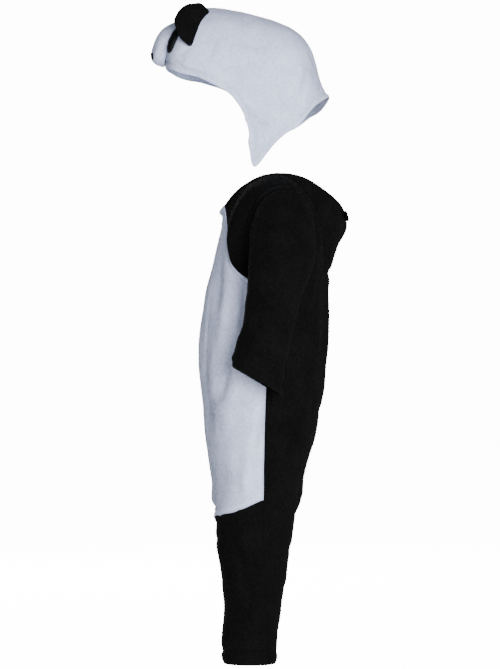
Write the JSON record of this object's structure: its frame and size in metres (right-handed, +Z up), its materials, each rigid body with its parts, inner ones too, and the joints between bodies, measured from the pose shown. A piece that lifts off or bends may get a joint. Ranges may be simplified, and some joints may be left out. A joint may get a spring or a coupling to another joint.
{
  "type": "hooded panda costume",
  "caption": "Child's plush costume with a panda-face hood: hollow white-fronted black jumpsuit and a separate hood with chin flaps, ears and muzzle.",
  "frame": {"origin": "where the costume is held: between the wearer's shoulders, in the middle of the neck opening", "axes": "+Z up, the costume faces -Y, the wearer's left is +X"},
  "size_m": [0.488, 0.337, 1.1067],
  "materials": {
    "white_plush": "short-pile plush",
    "black_plush": "short-pile plush",
    "black_felt": "smooth felt"
  },
  "bodies": {
    "root": {"belly_front": "white_plush", "yoke_left": "black_plush", "yoke_right": "black_plush", "back_left": "black_plush", "back_right": "black_plush", "front_leg_left": "black_plush", "front_leg_right": "black_plush", "sleeve_left": "black_plush", "sleeve_right": "black_plush", "neck_tab_back": "black_plush", "hood_left": "white_plush", "hood_right": "white_plush", "muzzle": "white_plush", "nose": "black_felt", "ear_left": "black_plush", "ear_right": "black_plush", "eye_patch_left": "black_plush", "eye_patch_right": "black_plush"}
  },
  "joints": []
}
